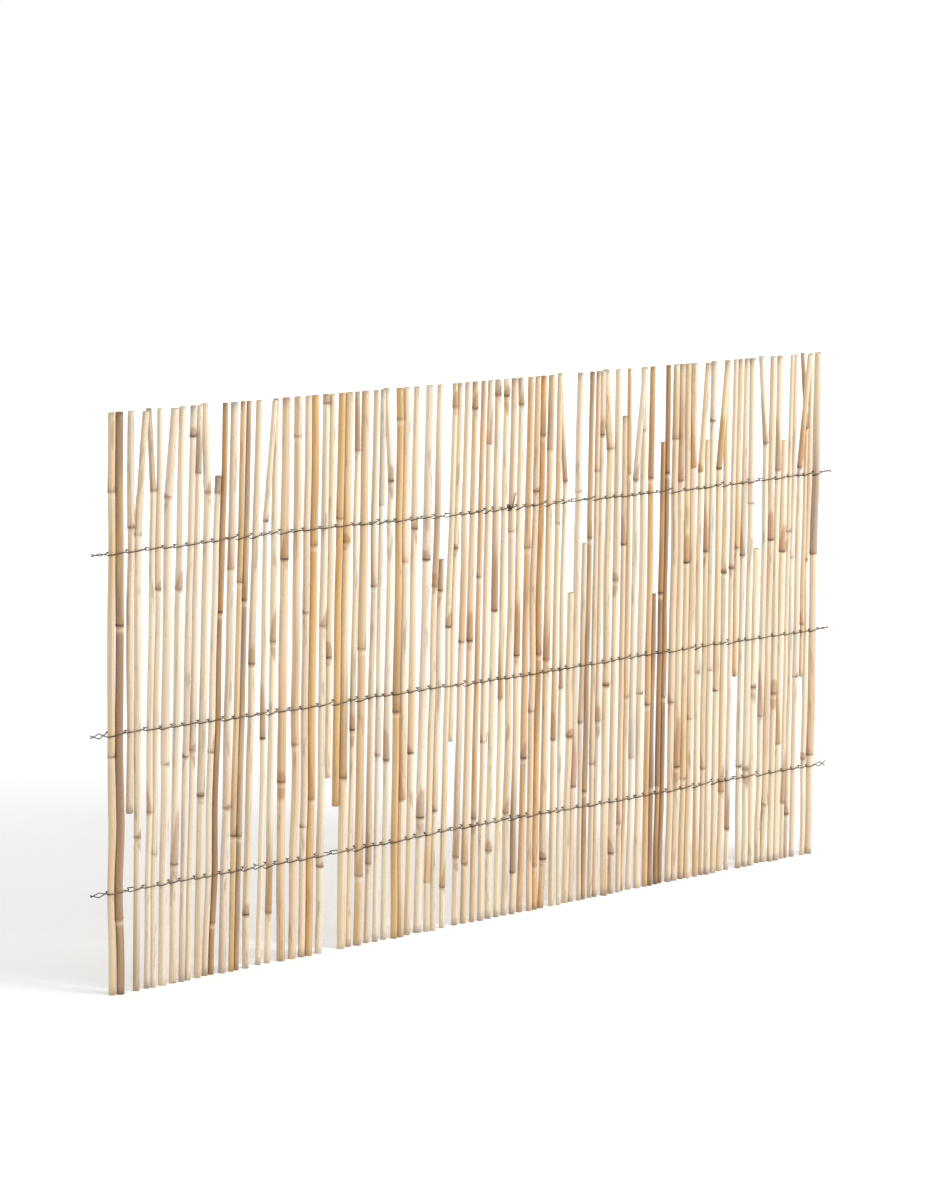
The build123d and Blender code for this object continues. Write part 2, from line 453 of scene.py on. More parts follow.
def bake_nodes(piece, tree, values):
    """Run a geometry tree on a guide object and keep its result as the object's plain mesh."""
    modifier = piece.modifiers.new(tree.name, "NODES")
    modifier.node_group = tree
    for socket in tree.interface.items_tree:
        if socket.name in values:
            modifier[socket.identifier] = values[socket.name]
    depsgraph = bpy.context.evaluated_depsgraph_get()
    mesh = bpy.data.meshes.new_from_object(piece.evaluated_get(depsgraph), depsgraph=depsgraph)
    piece.modifiers.remove(modifier)
    guide = piece.data
    piece.data = mesh
    bpy.data.meshes.remove(guide)
    mesh.name = piece.name
    return piece


# Materials

WHITE = (1.0, 1.0, 1.0, 1.0)
MIX_FACTOR = 0
MIX_FIRST = 6
MIX_SECOND = 7
MIX_RESULT = 2

# Scale round a stalk, scale along it, shift and detail of each noise of its skin
PATCH_NOISE = (0.4, 13.0, 11.0, 2.0)
BLOTCH_NOISE = (0.7, 30.0, 17.0, 3.0)
FLECK_NOISE = (2.2, 420.0, 23.0, 2.0)
FIBRE_SHIFT = 0.0
FIBRE_DETAIL = 3.0
FIBRE_FINENESS = 3.8
FIBRE_STRETCH = 7.0
LOT_SPREAD = 37.0

# Cane skin: where a mark starts and is full on its noise, and how far it covers the skin
TONE_STOPS = (0.0, 0.45, 0.75, 1.0)
PATCH_SHARE = 0.55
STREAK = (0.46, 0.70, 0.42)
BLOTCH = (0.60, 0.70, 0.5)
FLECK = (0.63, 0.77, 0.34)
BLOOM_SHARE = 0.5
SHEATH_BASE = 0.35
SCAR_BASE = 0.45
SCAR_FACING = 0.35
SCAR_ROUND = 0.8
HUE_SPREAD = 0.006
HUE_MIDDLE = 0.502
VIVID_SPREAD = 0.15
VIVID_MIDDLE = 0.95
STAIN_RAGGED = 1.2
STAIN_REACH = 2.2
STAIN_EDGE = (1.45, 2.3)
STAIN_FADE = (0.0, 0.3)
STAIN_SHARE = 0.72

# Gloss of the skin: roughness as spread and base, bump as strength and depth
SKIN_ROUGHNESS = (0.3, 0.28)
SKIN_COAT = 0.22
SKIN_COAT_ROUGHNESS = 0.32
FIBRE_BUMP = (0.35, 0.2 * MM)

# Wire: scale and detail of its stains and grit, then its gloss as for the skin
WIRE_STAIN = (160.0, 3.0)
WIRE_GRIT = (2600.0, 2.0)
WIRE_WORN = (0.40, 0.62)
WIRE_ROUGHNESS = (0.3, 0.32)
WIRE_METAL = 0.75
GRIT_BUMP = (0.3, 0.1 * MM)

# Floor: where the glow of its far part starts and is full
FLOOR_ROUGHNESS = 0.9
FAR_FLOOR = (0.5, 2.5)


def attribute(tree, name, output="Fac"):
    return add_node(tree, "ShaderNodeAttribute", attribute_name=name).outputs[output]


def math_node(tree, operation, first, second=0.0, clamp=False):
    node = add_node(tree, "ShaderNodeMath", {0: first, 1: second}, operation=operation, use_clamp=clamp)
    return node.outputs[0]


def scaled(tree, value, factor, base):
    """Output socket of a value times a factor, plus a base."""
    return math_node(tree, "ADD", math_node(tree, "MULTIPLY", value, factor), base)


def mix_colour(tree, factor, first, second):
    node = add_node(tree, "ShaderNodeMix", data_type="RGBA")
    for key, value in ((MIX_FACTOR, factor), (MIX_FIRST, first), (MIX_SECOND, second)):
        if isinstance(value, bpy.types.NodeSocket):
            tree.links.new(value, node.inputs[key])
        else:
            node.inputs[key].default_value = value
    return node.outputs[MIX_RESULT]


def opaque(colour):
    return (*colour, 1.0)


def fibre_group():
    """Lengthwise fibres and patches of a stalk, from its own rim and length attributes."""
    tree, given, result = new_group(
        "stalk_fibre", "ShaderNodeTree",
        [("Fineness", "NodeSocketFloat"), ("Stretch", "NodeSocketFloat")],
        [(label, "NodeSocketFloat") for label in ("Fibre", "Patch", "Blotch", "Fleck")])
    rim = add_node(tree, "ShaderNodeSeparateXYZ", {"Vector": attribute(tree, "rim", "Vector")})
    lot = math_node(tree, "MULTIPLY", attribute(tree, "lot"), LOT_SPREAD)
    along = attribute(tree, "along")

    def noise(round_scale, long_scale, shift, detail):
        place = add_node(tree, "ShaderNodeCombineXYZ", {
            "X": scaled(tree, rim.outputs["X"], round_scale, lot),
            "Y": scaled(tree, rim.outputs["Y"], round_scale, shift),
            "Z": math_node(tree, "MULTIPLY", along, long_scale)})
        return add_node(tree, "ShaderNodeTexNoise", {
            "Vector": place.outputs[0], "Scale": 1.0, "Detail": detail}).outputs["Fac"]

    fibre = noise(given.outputs["Fineness"], given.outputs["Stretch"], FIBRE_SHIFT, FIBRE_DETAIL)
    tree.links.new(fibre, result.inputs["Fibre"])
    for label, values in (("Patch", PATCH_NOISE), ("Blotch", BLOTCH_NOISE), ("Fleck", FLECK_NOISE)):
        tree.links.new(noise(*values), result.inputs[label])
    return tree


def spread(tree, value, low, high):
    """Map a value between low and high onto 0 to 1, smoothly."""
    node = add_node(tree, "ShaderNodeMapRange", {"Value": value, "From Min": low, "From Max": high},
                    interpolation_type="SMOOTHSTEP")
    return node.outputs["Result"]


def new_material(name):
    material = bpy.data.materials.new(name)
    material.use_nodes = True
    tree = material.node_tree
    return material, tree, tree.nodes["Principled BSDF"]


def add_bump(tree, surface, height, strength, distance):
    bump = add_node(tree, "ShaderNodeBump", {"Height": height, "Strength": strength, "Distance": distance})
    tree.links.new(bump.outputs["Normal"], surface.inputs["Normal"])


def marked_side(tree):
    """1 on the side of a cane that a knuckle's marks face, and -1 on the other."""
    rim = attribute(tree, "rim", "Vector")
    facing = attribute(tree, "facing", "Vector")
    turned = add_node(tree, "ShaderNodeVectorMath", {0: rim, 1: facing}, operation="DOT_PRODUCT")
    return turned.outputs["Value"]


def stain_mask(tree, side, fibre):
    """Brown stain of a knuckle: all round it, and drawn out to a ragged point on one side."""
    stain = attribute(tree, "stain")
    ragged = math_node(tree, "ADD", side, math_node(tree, "MULTIPLY", fibre, STAIN_RAGGED))
    reach = math_node(tree, "ADD", ragged, math_node(tree, "MULTIPLY", stain, STAIN_REACH))
    edge = spread(tree, reach, *STAIN_EDGE)
    faded = math_node(tree, "MULTIPLY", edge, spread(tree, stain, *STAIN_FADE))
    return math_node(tree, "MULTIPLY", faded, STAIN_SHARE)


def tone_ramp(tree, cane, tone):
    """Output socket of a cane's colour by its tone, from straw to umber."""
    ramp = add_node(tree, "ShaderNodeValToRGB", {"Fac": tone})
    colours = (cane.straw, cane.honey, cane.amber, cane.umber)
    band = ramp.color_ramp.elements
    while len(band) < len(colours):
        band.new(0.5)
    for stop, place, colour in zip(band, TONE_STOPS, colours):
        stop.position = place
        stop.color = opaque(colour)
    return ramp.outputs["Color"]


def cane_material(fibre):
    """Dry cane skin: straw to umber by cane, sheath over each knuckle, dark scars, and painted shade in the
    bore of each cut end.
    """
    cane = settings().cane
    material, tree, skin = new_material("dry_cane")
    grain = add_node(tree, "ShaderNodeGroup", node_tree=fibre)
    grain.inputs["Fineness"].default_value = FIBRE_FINENESS
    grain.inputs["Stretch"].default_value = FIBRE_STRETCH
    fibres = grain.outputs["Fibre"]

    def cover(colour, label, mark, paint):
        low, high, share = mark
        mask = math_node(tree, "MULTIPLY", spread(tree, grain.outputs[label], low, high), share)
        return mix_colour(tree, mask, colour, opaque(paint))

    patch = math_node(tree, "SUBTRACT", grain.outputs["Patch"], NOISE_MIDDLE)
    patch = math_node(tree, "MULTIPLY", patch, PATCH_SHARE)
    colour = tone_ramp(tree, cane, math_node(tree, "ADD", attribute(tree, "tone"), patch))
    sheath = mix_colour(tree, attribute(tree, "rust"), opaque(cane.amber), opaque(cane.umber))
    torn = math_node(tree, "ADD", fibres, SHEATH_BASE)
    torn = math_node(tree, "MULTIPLY", attribute(tree, "sheath"), torn, clamp=True)
    colour = mix_colour(tree, torn, colour, sheath)
    colour = cover(colour, "Fibre", STREAK, cane.umber)
    colour = cover(colour, "Blotch", BLOTCH, cane.umber)
    side = marked_side(tree)
    colour = mix_colour(tree, stain_mask(tree, side, fibres), colour, opaque(cane.bark))
    colour = cover(colour, "Fleck", FLECK, cane.knuckle)
    bloom = math_node(tree, "MULTIPLY", attribute(tree, "bloom"), BLOOM_SHARE)
    colour = mix_colour(tree, bloom, colour, opaque(cane.straw))
    colour = add_node(tree, "ShaderNodeHueSaturation", {
        "Hue": scaled(tree, attribute(tree, "tint"), HUE_SPREAD, HUE_MIDDLE),
        "Saturation": scaled(tree, attribute(tree, "vivid"), VIVID_SPREAD, VIVID_MIDDLE),
        "Color": colour}).outputs["Color"]
    scar = math_node(tree, "MULTIPLY", attribute(tree, "scar"), scaled(tree, side, SCAR_FACING, SCAR_ROUND))
    dark = math_node(tree, "MAXIMUM", scar, attribute(tree, "tip"))
    ragged = math_node(tree, "ADD", fibres, SCAR_BASE)
    ragged = math_node(tree, "MULTIPLY", dark, ragged, clamp=True)
    # Painted shade: the bore of a cut end turns to the knuckle colour at its bottom, with a quarter of that
    # on its lip and cut face
    ragged = math_node(tree, "MAXIMUM", ragged, attribute(tree, "hollow"))
    colour = mix_colour(tree, ragged, colour, opaque(cane.knuckle))
    tree.links.new(colour, skin.inputs["Base Color"])

    tree.links.new(scaled(tree, fibres, *SKIN_ROUGHNESS), skin.inputs["Roughness"])
    skin.inputs["Coat Weight"].default_value = SKIN_COAT
    skin.inputs["Coat Roughness"].default_value = SKIN_COAT_ROUGHNESS
    add_bump(tree, skin, fibres, *FIBRE_BUMP)
    return material


def wire_material():
    """Galvanised wire gone dull, with darker weathered stretches."""
    wire = settings().wire
    material, tree, metal = new_material("weathered_zinc")
    place = add_node(tree, "ShaderNodeTexCoord").outputs["Object"]

    def noise(scale, detail):
        return add_node(tree, "ShaderNodeTexNoise", {
            "Vector": place, "Scale": scale, "Detail": detail}).outputs["Fac"]

    stain = noise(*WIRE_STAIN)
    grit = noise(*WIRE_GRIT)
    worn = spread(tree, stain, *WIRE_WORN)
    colour = mix_colour(tree, worn, opaque(wire.zinc), opaque(wire.tarnish))
    tree.links.new(colour, metal.inputs["Base Color"])
    tree.links.new(scaled(tree, grit, *WIRE_ROUGHNESS), metal.inputs["Roughness"])
    metal.inputs["Metallic"].default_value = WIRE_METAL
    add_bump(tree, metal, grit, *GRIT_BUMP)
    return material


def seen_directly(tree):
    """Output socket that is 1 for what the camera or a reflection sees."""
    path = add_node(tree, "ShaderNodeLightPath")
    return math_node(tree, "MAXIMUM", path.outputs["Is Camera Ray"], path.outputs["Is Glossy Ray"])


def floor_material():
    """Pale floor that the camera sees as white, with the screen's shadow on it."""
    stage = settings().stage
    material, tree, surface = new_material("pale_floor")
    surface.inputs["Base Color"].default_value = opaque(stage.floor)
    surface.inputs["Roughness"].default_value = FLOOR_ROUGHNESS
    surface.inputs["Specular IOR Level"].default_value = 0.0
    surface.inputs["Emission Color"].default_value = WHITE
    place = add_node(tree, "ShaderNodeTexCoord").outputs["Object"]
    away = add_node(tree, "ShaderNodeVectorMath", {0: place}, operation="LENGTH").outputs["Value"]
    glow = scaled(tree, spread(tree, away, *FAR_FLOOR), stage.far_glow, stage.floor_glow)
    glow = math_node(tree, "MULTIPLY", seen_directly(tree), glow)
    tree.links.new(glow, surface.inputs["Emission Strength"])
    return material


# Canes

# Bend: most room aside, how fast a cane comes loose from a binding, and shares of the room used
WIDEST_ROOM = 6 * MM
SLACK_REACH = 0.035
LEAN_SHARE = 0.5
BOW_SHARE = 0.6
HEAD_SHARE = 0.2
SWAY_ASIDE = 1.4
SWAY_OUT = 2
LOT_RANGE = (0.0, 40.0)

# Knuckles, in millimetres from their middle: rings, collar and the neck under it
KNUCKLE_RINGS = (-6, -4, -2.4, -1.4, -0.7, -0.2, 0.3, 0.9, 1.7, 3, 5)
KNUCKLE_CLEAR = 6.5 * MM
COLLAR_AT = 0.2
COLLAR_WIDTH = 0.8
NECK_AT = -3.2
NECK_WIDTH = 1.6
NECK_SHARE = 0.5

# Sheaths: strengths, lengths and rust to draw from
SHEATH_BELOW = 0.05
SHEATH_STRENGTHS = (0.0, 0.1, 0.25, 0.5, 0.9)
SHEATH_LENGTH = (0.03, 0.17)
SHEATH_RUST = (0.0, 0.0, 0.3, 0.7, 1.0)
SHEATH_START = 0.1 * MM
SHEATH_FULL = 1.6

# Marks of a knuckle, in millimetres: stain, scar and the pale band of bloom
STAIN_DOWN = (2, 4, 8, 18)
STAIN_UP = (4, 8, 16, 30, 55)
SCAR_STRENGTH = (0.35, 1.2)
SCAR_WIDTH = 0.75
SCAR_TAIL = 0.35
SCAR_RUN = 3.0
BLOOM_AT = -3.6
BLOOM_WIDTH = 1.7

# Tone of a cane: a dark one, or one of the pale ranges
SLENDER = 2.4 * MM
DARK_SLENDER = 0.25
DARK_STOUT = 0.05
DARK_TONE = (0.7, 1.0)
PALE_TONES = ((-0.2, 0.05), (-0.1, 0.1), (0.0, 0.2), (0.0, 0.3), (0.1, 0.4), (0.2, 0.5), (0.45, 0.75))

# Cut ends: darkening, its reach, the lip and bore as shares of the radius, and the share of the bore's
# painted shade on the lip and cut face
CUT_DARKNESS = (0.0, 0.15, 0.45)
CUT_REACH = 3 * MM
LIP_SHARE = 0.93
LIP_PAINTED_SHADE = 0.25
BORE_TAPER = 0.94


def bell(distance, middle, width):
    """1 at the middle, falling to nothing on both sides."""
    return math.exp(-((distance - middle) / width) ** 2)


def pocket_edges(pocket, height):
    """Left and right side of a pocket's canes at a height."""
    held = [stalk for stalk in POCKETS[pocket] if stalk.reaches(height)]
    left = min(stalk.x(height) - stalk.radius(height) for stalk in held)
    return left, max(stalk.x(height) + stalk.radius(height) for stalk in held)


def pocket_room(pocket, height):
    """How far a pocket's canes may lean at a height and still leave its neighbours as much."""
    left, right = pocket_edges(pocket, height)
    rooms = [WIDEST_ROOM]
    if pocket - 1 in POCKETS:
        rooms.append(left - pocket_edges(pocket - 1, height)[1])
    if pocket + 1 in POCKETS:
        rooms.append(pocket_edges(pocket + 1, height)[0] - right)
    return max(0.0, min(rooms) / 2)


def slack(height):
    """0 at a binding, rising to 1 well away from it."""
    nearest = min(abs(height - row) for row in ROW_HEIGHTS.values())
    return 1 - math.exp(-(nearest / SLACK_REACH) ** 2)


def draw_kinks(knuckles, draw):
    """Heights where a cane changes direction, and how far it stands off there, from -1 to 1."""
    heights = [0.0, *knuckles, SCREEN_HEIGHT]
    return heights, [draw.uniform(-1, 1) for height in heights]


class Bend:
    """How a natural cane strays from the straight line of its solid one."""

    def __init__(self, stalk, cane):
        self.stalk = stalk
        self.reach = cane.sway
        pocket = random.Random(f"{cane.seed} pocket {stalk.pocket}")
        self.drift = pocket.uniform(*LOT_RANGE)
        self.lean = draw_kinks(POCKETS[stalk.pocket][0].knuckles, pocket)
        self.depth = draw_kinks(stalk.knuckles, random.Random(f"{cane.seed} bend {STALKS.index(stalk)}"))

    def middle(self, height):
        loose = slack(height)
        lean = LEAN_SHARE * pocket_room(self.stalk.pocket, height) * np.interp(height, *self.lean)
        depth = BOW_SHARE * self.depth_reach(height) * np.interp(height, *self.depth)
        return self.stalk.x(height) + loose * lean, self.stalk.y(height) + loose * depth

    def depth_reach(self, height):
        """Most that the cane bows out of the screen: less at its head, where kinked canes pass by."""
        return self.reach * (HEAD_SHARE if height > ROW_HEIGHTS["upper"] else 1.0)

    def sway(self, height):
        loose = slack(height)
        aside = SWAY_ASIDE * pocket_room(self.stalk.pocket, height) * loose
        return aside, SWAY_OUT * self.depth_reach(height) * loose, 0.0


def cane_heights(stalk, step):
    """Heights of a cane's rings: evenly spaced, and close together round each knuckle."""
    count = max(2, round((stalk.high - stalk.low) / step))
    heights = list(np.linspace(stalk.low, stalk.high, count + 1))
    for knuckle in stalk.knuckles:
        heights = [z for z in heights if abs(z - knuckle) > KNUCKLE_CLEAR]
        heights += [knuckle + offset * MM for offset in KNUCKLE_RINGS]
    return sorted(heights)


def draw_sheaths(stalk, draw):
    """Start, length, strength and rust of the dry sheath over each length between knuckles."""
    sheaths = []
    for start in [stalk.low - SHEATH_BELOW, *stalk.knuckles]:
        strength = draw.choice(SHEATH_STRENGTHS)
        sheaths.append((start, draw.uniform(*SHEATH_LENGTH), strength, draw.choice(SHEATH_RUST)))
    return sheaths


def sheath_at(sheaths, height):
    """Strength and rust of the sheath at a height: full over its knuckle, running out upwards."""
    start, length, strength, rust = [s for s in sheaths if s[0] <= height + SHEATH_START][-1]
    share = max(0.0, 1 - (height - start) / length)
    return strength * min(1.0, SHEATH_FULL * share), rust


class Mark:
    """Dark scar of a knuckle and the brown stain that runs out from it."""

    def __init__(self, knuckle, draw):
        turn = draw.uniform(0, 2 * math.pi)
        self.knuckle = knuckle
        self.facing = (math.cos(turn), math.sin(turn), 0.0)
        self.down = draw.choice(STAIN_DOWN) * MM
        self.up = draw.choice(STAIN_UP) * MM
        self.strength = draw.uniform(*SCAR_STRENGTH)

    def stain(self, height):
        """Spread of the stain, 1 all round and 0 gone."""
        above = height - self.knuckle
        return max(0.0, 1 - (above / self.up if above > 0 else -above / self.down))

    def scar(self, height):
        """Darkness of the scar: sharp below, running out upwards."""
        above = (height - self.knuckle) / MM
        tail = SCAR_TAIL * math.exp(-above / SCAR_RUN) if above > 0 else 0.0
        return self.strength * min(1.0, bell(above, 0.0, SCAR_WIDTH) + tail)


def draw_tone(slender, draw):
    """Place of a cane from straw to umber: most are pale, and the dark ones are mostly slender."""
    if draw.random() < (DARK_SLENDER if slender else DARK_STOUT):
        return draw.uniform(*DARK_TONE)
    return draw.choice([draw.uniform(*tone) for tone in PALE_TONES])


def cane_guide(index, cane):
    """Guide line of one cane with what the sweep and the skin read from it."""
    stalk = STALKS[index]
    bend = Bend(stalk, cane)
    draw = random.Random(f"{cane.seed} cane {index}")
    sheaths = draw_sheaths(stalk, draw)
    marks = [Mark(knuckle, draw) for knuckle in stalk.knuckles]
    tone = draw_tone(stalk.radii.mean() < SLENDER, draw)
    tint = draw.uniform(-1, 1)
    vivid = draw.uniform(-1, 1)
    lot = draw.uniform(*LOT_RANGE)
    cuts = [(end, draw.choice(CUT_DARKNESS)) for end in (stalk.low, stalk.high)]
    unmarked = (0.0, (1.0, 0.0, 0.0))
    rows = []
    for height in cane_heights(stalk, cane.step):
        near = [(height - knuckle) / MM for knuckle in stalk.knuckles]
        collar = sum(bell(away, COLLAR_AT, COLLAR_WIDTH) for away in near)
        neck = sum(bell(away, NECK_AT, NECK_WIDTH) for away in near)
        sheath, rust = sheath_at(sheaths, height)
        stain, facing = max([(mark.stain(height), mark.facing) for mark in marks], default=unmarked)
        rows.append({
            "point": (*bend.middle(height), height), "sway": bend.sway(height), "drift": bend.drift,
            "girth": stalk.radius(height) + cane.collar * (collar - NECK_SHARE * neck),
            # hollow: painted shade of a cut end's bore, none along the cane itself
            "fold": 0.0, "hollow": 0.0, "sheath": sheath, "rust": rust, "stain": stain, "facing": facing,
            "scar": max([mark.scar(height) for mark in marks], default=0.0),
            "bloom": max([bell(away, BLOOM_AT, BLOOM_WIDTH) for away in near], default=0.0),
            "tip": max(dark * math.exp(-abs(height - end) / CUT_REACH) for end, dark in cuts),
            "along": height, "tone": tone, "tint": tint, "vivid": vivid, "lot": lot})
    return hollow_end(rows[0], -1, cane)[::-1] + rows + hollow_end(rows[-1], 1, cane)


def hollow_end(end, up, cane):
    """Rings past a cut end, which the fold brings back inside the cane, carrying the bore's painted shade:
    full at its bottom, a quarter on its lip.
    """
    rings = []
    x, y, z = end["point"]
    lip_and_bore = ((LIP_SHARE, 0.0), (cane.bore, 0.0), (cane.bore * BORE_TAPER, cane.bore_depth))
    for count, (share, depth) in enumerate(lip_and_bore, 1):
        past = count * MM
        ring = dict(end)
        ring["point"] = (x, y, z + up * past)
        ring["fold"] = -up * (past + depth)
        ring["girth"] = end["girth"] * share
        # Painted shade: full at the bottom of the bore, a quarter on the lip and cut face
        ring["hollow"] = 1.0 if depth else LIP_PAINTED_SHADE
        rings.append(ring)
    return rings


class SCREEN_OT_canes(bpy.types.Operator):
    """Build the natural canes over the solid ones"""

    bl_idname = "cane_screen.canes"
    bl_label = "Build Canes"

    def execute(self, context):
        cane = settings().cane
        tree = cane_tree(bow_group())
        material = cane_material(fibre_group())
        for node in CANE_NODES:
            lines = [cane_guide(i, cane) for i, stalk in enumerate(STALKS) if stalk.node == node]
            piece = guide_lines(node.replace("canes", "natural_canes"), lines)
            bake_nodes(piece, tree, {
                "Sides": cane.sides, "Waves": cane.waves, "Seed": float(cane.seed), "Material": material})
            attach(piece, BODY)
            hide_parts(node)
        return {"FINISHED"}


# Loose sheath

# Sizes of a strip in millimetres, its angles in degrees, and its taper
SHRED_SIDES = (-90, 90)
SHRED_TURN = (-60, 60)
SHRED_LENGTH = (12, 30)
SHRED_PEEL = (0.8, 3.0)
SHRED_WIDTH = (0.5, 1.1)
SHRED_TONE = (0.1, 0.6)
SHRED_POINTS = 9
SHRED_OFF = 0.1 * MM
SHRED_END = 1.05
SHRED_TAPER = 0.6
SHRED_THINNESS = 0.14


def shred_guide(number, cane):
    """Guide line of one strip of sheath that peels off above a knuckle."""
    draw = random.Random(f"{cane.seed} shred {number}")
    stalk = draw.choice([stalk for stalk in STALKS if stalk.knuckles])
    knuckle = draw.choice(stalk.knuckles)
    turn = math.radians(draw.choice(SHRED_SIDES) + draw.uniform(*SHRED_TURN))
    length = min(draw.uniform(*SHRED_LENGTH) * MM, stalk.high - knuckle)
    peel = draw.uniform(*SHRED_PEEL) * MM
    width = draw.uniform(*SHRED_WIDTH) * MM
    tone = draw.uniform(*SHRED_TONE)
    lot = draw.uniform(*LOT_RANGE)
    bend = Bend(stalk, cane)
    rows = []
    for share in np.linspace(0.0, 1.0, SHRED_POINTS):
        height = knuckle + length * share
        out = stalk.radius(height) + SHRED_OFF + peel * share ** 2
        x, y = bend.middle(height)
        rows.append({
            "point": (x + out * math.cos(turn), y + out * math.sin(turn), height),
            "sway": bend.sway(height), "drift": bend.drift,
            "girth": width * (SHRED_END - share) ** SHRED_TAPER,
            "tone": tone, "along": height, "lot": lot})
    return rows


class SCREEN_OT_shreds(bpy.types.Operator):
    """Build the strips of dry sheath that peel off the canes"""

    bl_idname = "cane_screen.shreds"
    bl_label = "Build Sheath Shreds"

    def execute(self, context):
        cane = settings().cane
        lines = [shred_guide(number, cane) for number in range(cane.shreds)]
        piece = guide_lines("sheath_shreds", lines)
        bake_nodes(piece, shred_tree(bpy.data.node_groups["cane_bow"]), {
            "Thinness": SHRED_THINNESS, "Waves": cane.waves, "Seed": float(cane.seed),
            "Material": bpy.data.materials["dry_cane"]})
        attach(piece, BODY)
        return {"FINISHED"}


# Binding wire

# Slow waves of a row: share of the wander and waves along the screen, and the shift between rows
ROW_SHIFT = 2.1
LONG_WAVE = (0.6, 9.0)
SHORT_WAVE = (0.4, 23.0)

# Twists, as multiples of the usual rise, and the strand between them
OPEN_TWIST = (1.5, 2.3)
CLOSED_TWIST = (0.6, 1.1)
TWIST_STRAY = (-0.5, 0.5)
POCKET_STEPS = 12
FULL_SQUARENESS = 3.2
EMPTY_SQUARENESS = 2.0

# Splice: its turns round the row, and its loose end in millimetres right, front and up
SPLICE_REACH = 1.7
SPLICE_TURNS = 1.5
SPLICE_STEPS = 24
SPLICE_PITCH = 2.2
SPLICE_BACK = 0.8
SPLICE_END = (
    (1.6, 2.4, -1.6), (2.1, 3.3, 0.6), (2.8, 3.9, 4.5), (3.5, 4.1, 8.5), (4.9, 4.0, 12.5))


def pocket_stalks(row, left, right):
    height = ROW_HEIGHTS[row]
    return [stalk for stalk in STALKS if stalk.reaches(height) and left < stalk.x(height) < right]


def row_wander(row, x, wire):
    """Slow rise and fall of a row along the screen."""
    phase = wire.seed + ROW_SHIFT * ROWS.index(row)
    long_wave = LONG_WAVE[0] * math.sin(LONG_WAVE[1] * x + phase)
    short_wave = SHORT_WAVE[0] * math.sin(SHORT_WAVE[1] * x + 2 * phase)
    return wire.wander * (long_wave + short_wave)


def draw_twist(row, number, wire):
    """Half the height of one strand over the other at a twist, and how far it strays from the row."""
    draw = random.Random(f"{wire.seed} {row} {number}")
    opening = draw.uniform(*(OPEN_TWIST if draw.random() < wire.loops else CLOSED_TWIST))
    return wire.rise * opening, wire.rise * draw.uniform(*TWIST_STRAY)


def strand_line(row, strand, wire):
    """Centre line of one strand: round the front of a pocket, past the other, round the next one's back."""
    crossings, side = read_route(f"{row}_strand_{strand}")
    height = ROW_HEIGHTS[row]
    half = wire.diameter / 2
    line = []
    for number, (left, right) in enumerate(zip(crossings, crossings[1:])):
        rises, strays = zip(draw_twist(row, number, wire), draw_twist(row, number + 1, wire))
        stalks = pocket_stalks(row, left, right)
        depth = max([stalk.radius(height) for stalk in stalks], default=0.0) + half
        power = 2 / (FULL_SQUARENESS if stalks else EMPTY_SQUARENESS)
        for step in range(POCKET_STEPS):
            turn = math.pi * step / POCKET_STEPS
            across, out = math.cos(turn), math.sin(turn)
            x = (left + right) / 2 - (right - left) / 2 * math.copysign(abs(across) ** power, across)
            y = side * depth * out ** power
            for stalk in stalks:
                x, y = push_clear(x, y, stalk.x(height), stalk.radius(height) + half)
            past = (1 - across) / 2
            rise = side * (rises[0] * (1 - past) - rises[1] * past)
            stray = strays[0] * (1 - past) + strays[1] * past
            line.append((x, y, height + rise + stray + row_wander(row, x, wire)))
        side = -side
    return line


def push_clear(x, y, middle, reach):
    """Move a point out to the surface of a cane that it would lie in."""
    apart = math.hypot(x - middle, y)
    if apart >= reach:
        return x, y
    return middle + (x - middle) * reach / apart, y * reach / apart


def splice_line(row, wire):
    """Loose end of a spliced wire: a turn and a half round the row, then up in front of the next cane."""
    crossings = read_route(f"{row}_strand_a")[0]
    x = min(crossings, key=lambda crossing: abs(crossing - wire.splice_at))
    z = ROW_HEIGHTS[row] + row_wander(row, x, wire)
    reach = SPLICE_REACH * wire.rise + wire.diameter
    line = []
    for step in range(SPLICE_STEPS):
        turned = SPLICE_TURNS * step / SPLICE_STEPS
        turn = 2 * math.pi * SPLICE_TURNS * step / SPLICE_STEPS
        along = x + SPLICE_PITCH * wire.diameter * (turned - SPLICE_BACK)
        line.append((along, -reach * math.sin(turn), z + reach * math.cos(turn)))
    line += [(x + right * MM, -front * MM, z + up * MM) for right, front, up in SPLICE_END]
    return line


class SCREEN_OT_wires(bpy.types.Operator):
    """Build the twisted strands of the three bindings"""

    bl_idname = "cane_screen.wires"
    bl_label = "Build Binding Wire"

    def execute(self, context):
        wire = settings().wire
        tree = wire_tree()
        material = wire_material()
        for row in ROWS:
            for strand in STRANDS:
                node = f"{row}_strand_{strand}"
                lines = [strand_line(row, strand, wire)]
                if (row, strand) == SPLICED:
                    lines.append(splice_line(row, wire))
                rows = [[{"point": point} for point in line] for line in lines]
                piece = guide_lines(f"{row}_wire_{strand}", rows)
                bake_nodes(piece, tree, {
                    "Sides": wire.sides, "Diameter": wire.diameter, "Material": material})
                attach(piece, BODY)
                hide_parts(node)
        return {"FINISHED"}


# Stage

def camera_frame(stage):
    """Camera matrix from its place, heading, pitch and roll."""
    ahead = Vector((
        math.sin(stage.heading) * math.cos(stage.pitch),
        math.cos(stage.heading) * math.cos(stage.pitch),
        math.sin(stage.pitch)))
    right = ahead.cross(Vector((0, 0, 1))).normalized()
    up = right.cross(ahead)
    right, up = (
        math.cos(stage.roll) * right + math.sin(stage.roll) * up,
        math.cos(stage.roll) * up - math.sin(stage.roll) * right)
    matrix = Matrix((right, up, -ahead)).transposed().to_4x4()
    matrix.translation = Vector(stage.camera_place)
    return matrix


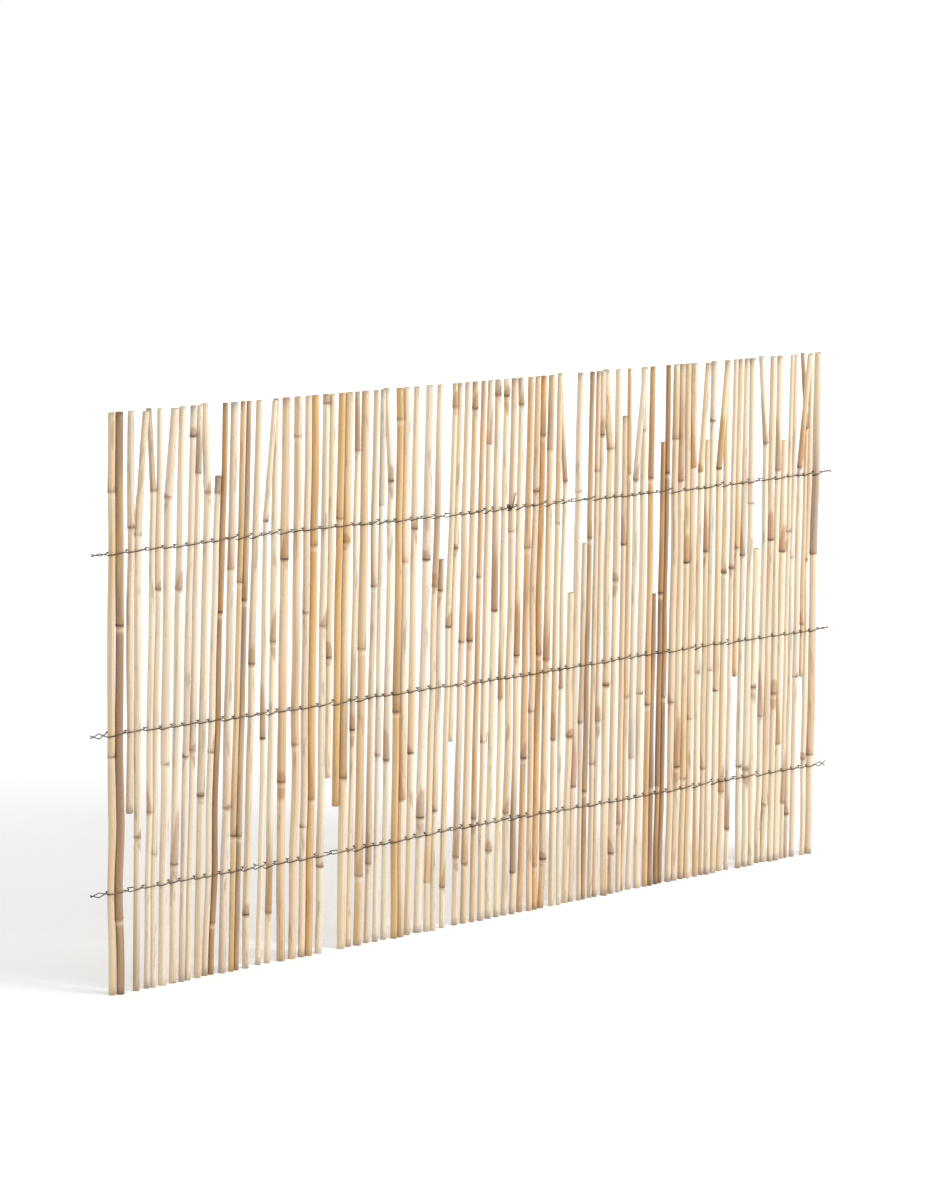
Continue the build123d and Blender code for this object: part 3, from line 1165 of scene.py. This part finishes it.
class SCREEN_OT_stage(bpy.types.Operator):
    """Build the pale floor, the soft light and the camera"""

    bl_idname = "cane_screen.stage"
    bl_label = "Build Stage"

    def execute(self, context):
        stage = settings().stage
        scene = context.scene
        scene.view_settings.view_transform = "Standard"
        self.build_floor(scene, stage)
        self.build_light(scene, stage)
        self.build_world(scene, stage)
        camera = bpy.data.objects.new("camera", bpy.data.cameras.new("camera"))
        camera.data.lens = stage.focal_length
        camera.matrix_world = camera_frame(stage)
        scene.collection.objects.link(camera)
        scene.camera = camera
        return {"FINISHED"}

    def build_floor(self, scene, stage):
        half = stage.floor_size / 2
        corners = [(-half, -half, 0), (half, -half, 0), (half, half, 0), (-half, half, 0)]
        mesh = bpy.data.meshes.new("floor")
        mesh.from_pydata(corners, [], [(0, 1, 2, 3)])
        mesh.materials.append(floor_material())
        floor = bpy.data.objects.new("floor", mesh)
        scene.collection.objects.link(floor)

    def build_light(self, scene, stage):
        lamp = bpy.data.lights.new("key_lamp", "AREA")
        lamp.energy = stage.key_power
        lamp.size = stage.key_size
        key = bpy.data.objects.new("key_lamp", lamp)
        place = Vector(stage.key_place)
        aim = Vector((0, 0, SCREEN_HEIGHT / 2)) - place
        key.matrix_world = Matrix.Translation(place) @ aim.to_track_quat("-Z", "Y").to_matrix().to_4x4()
        scene.collection.objects.link(key)

    def build_world(self, scene, stage):
        world = bpy.data.worlds.new("studio")
        world.use_nodes = True
        scene.world = world
        tree = world.node_tree
        strength = scaled(tree, seen_directly(tree), 1.0 - stage.ambient, stage.ambient)
        background = tree.nodes["Background"]
        background.inputs["Color"].default_value = WHITE
        tree.links.new(strength, background.inputs["Strength"])


# Sidebar and registration

class SCREEN_PT_panel(bpy.types.Panel):
    """Sizes, colours and build steps of the cane screening"""

    bl_label = "Cane Screening"
    bl_idname = "SCREEN_PT_panel"
    bl_space_type = "VIEW_3D"
    bl_region_type = "UI"
    bl_category = "Cane Screening"

    def draw(self, context):
        groups = settings()
        for label, group, operators in (
                ("Canes", groups.cane, (SCREEN_OT_canes, SCREEN_OT_shreds)),
                ("Binding Wire", groups.wire, (SCREEN_OT_wires,)),
                ("Stage", groups.stage, (SCREEN_OT_stage,))):
            box = self.layout.box()
            box.label(text=label)
            for name in group.bl_rna.properties.keys():
                if name not in {"rna_type", "name"}:
                    box.prop(group, name)
            for operator in operators:
                box.operator(operator.bl_idname)


CLASSES = (
    CaneSettings, WireSettings, StageSettings, ScreenSettings,
    SCREEN_OT_canes, SCREEN_OT_shreds, SCREEN_OT_wires, SCREEN_OT_stage, SCREEN_PT_panel)


def register():
    for cls in CLASSES:
        bpy.utils.register_class(cls)
    bpy.types.Scene.cane_screen = PointerProperty(type=ScreenSettings)


def unregister():
    del bpy.types.Scene.cane_screen
    for cls in reversed(CLASSES):
        bpy.utils.unregister_class(cls)


def main():
    register()
    bpy.ops.cane_screen.canes()
    bpy.ops.cane_screen.shreds()
    bpy.ops.cane_screen.wires()
    bpy.ops.cane_screen.stage()


if __name__ == "__main__":
    main()
